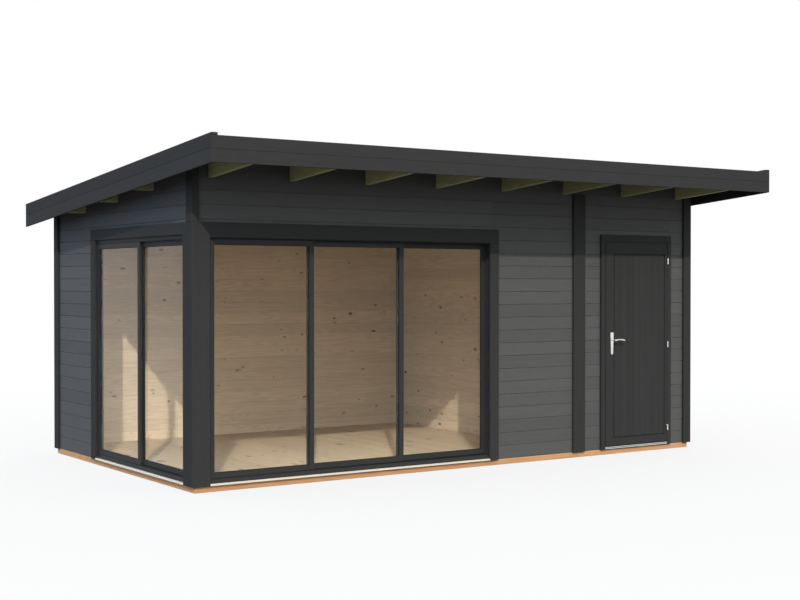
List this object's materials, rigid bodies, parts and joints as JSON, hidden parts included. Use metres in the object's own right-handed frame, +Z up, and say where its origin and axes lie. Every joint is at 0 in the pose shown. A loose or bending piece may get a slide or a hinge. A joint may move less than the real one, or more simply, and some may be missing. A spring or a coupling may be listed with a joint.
{
  "type": "garden office pod",
  "caption": "Timber garden office pod with a pent roof, a sliding glazed corner, log-board walls and a boarded store door.",
  "frame": {"origin": "ground level under the middle of the roof outline", "axes": "+X along the length, left to right seen from the front, front towards -Y, +Z up"},
  "size_m": [5.78, 3.95, 2.6718],
  "materials": {
    "base_wood": "bare planed softwood",
    "natural_spruce": "bare knotty spruce",
    "wall_paint": "matt dark grey paint on log boards",
    "trim_paint": "matt charcoal paint",
    "door_paint": "matt charcoal paint",
    "treated_wood": "green-brown pressure treated softwood",
    "frame_metal": "charcoal powder coat",
    "glass": "clear toughened glass",
    "sill": "off-white",
    "threshold": "ribbed bare aluminium",
    "bright_metal": "satin",
    "roof_covering": "dark roofing membrane"
  },
  "bodies": {
    "building": {"base_bearers": "base_wood", "floor": "natural_spruce", "back_wall": "wall_paint", "right_wall": "wall_paint", "left_wall_back": "wall_paint", "left_wall_over_window": "wall_paint", "front_wall_over_window": "wall_paint", "front_wall_middle": "wall_paint", "front_wall_left_of_door": "wall_paint", "front_wall_over_door": "wall_paint", "front_wall_right_of_door": "wall_paint", "partition_wall": "natural_spruce", "corner_post": "trim_paint", "corner_boards": "trim_paint", "joint_covers": "trim_paint", "glazing_trim": "trim_paint", "front_glazing_frame": "frame_metal", "side_glazing_frame": "frame_metal", "glazing_sills": "sill", "door_frame": "trim_paint", "door_trim": "trim_paint", "door_threshold": "threshold", "hinge_frame_halves": "bright_metal", "rafters": "treated_wood", "roof_lookouts": "treated_wood", "eaves_blocking": "wall_paint", "roof_boards": "natural_spruce", "roof_covering": "roof_covering", "front_fascia": "trim_paint", "back_fascia": "trim_paint", "side_fascias": "trim_paint", "verge_battens": "trim_paint"},
    "front_left_door": {"front_sash_left": "frame_metal", "front_glass_left": "glass"},
    "front_middle_door": {"front_sash_middle": "frame_metal", "front_glass_middle": "glass"},
    "front_right_door": {"front_sash_right": "frame_metal", "front_glass_right": "glass"},
    "side_back_door": {"side_sash_back": "frame_metal", "side_glass_back": "glass"},
    "side_front_door": {"side_sash_front": "frame_metal", "side_glass_front": "glass"},
    "store_door": {"door_leaf": "door_paint", "door_panel": "door_paint", "hinge_door_halves": "bright_metal", "handle_plates": "bright_metal"},
    "door_lever": {"handle_levers": "bright_metal"}
  },
  "joints": [
    {"name": "front_left_slide", "type": "slide", "parent": "building", "child": "front_left_door", "axis": [1, 0, 0], "range_m": [0, 1.786]},
    {"name": "front_middle_slide", "type": "slide", "parent": "building", "child": "front_middle_door", "axis": [1, 0, 0], "range_m": [-0.893, 0.893]},
    {"name": "front_right_slide", "type": "slide", "parent": "building", "child": "front_right_door", "axis": [-1, 0, 0], "range_m": [0, 1.786]},
    {"name": "side_back_slide", "type": "slide", "parent": "building", "child": "side_back_door", "axis": [0, -1, 0], "range_m": [0, 0.893]},
    {"name": "side_front_slide", "type": "slide", "parent": "building", "child": "side_front_door", "axis": [0, 1, 0], "range_m": [0, 0.893]},
    {"name": "store_door_hinge", "type": "hinge", "parent": "building", "child": "store_door", "pos_m": [2.357, -1.1873, 1.0165], "axis": [0, 0, 1], "range_deg": [0, 100]},
    {"name": "lever_turn", "type": "hinge", "parent": "store_door", "child": "door_lever", "pos_m": [1.635, -1.16, 1.075], "axis": [0, 1, 0], "range_deg": [0, 45], "stiffness_Nm_per_rad": 1.2, "springref_deg": -17.19}
  ]
}
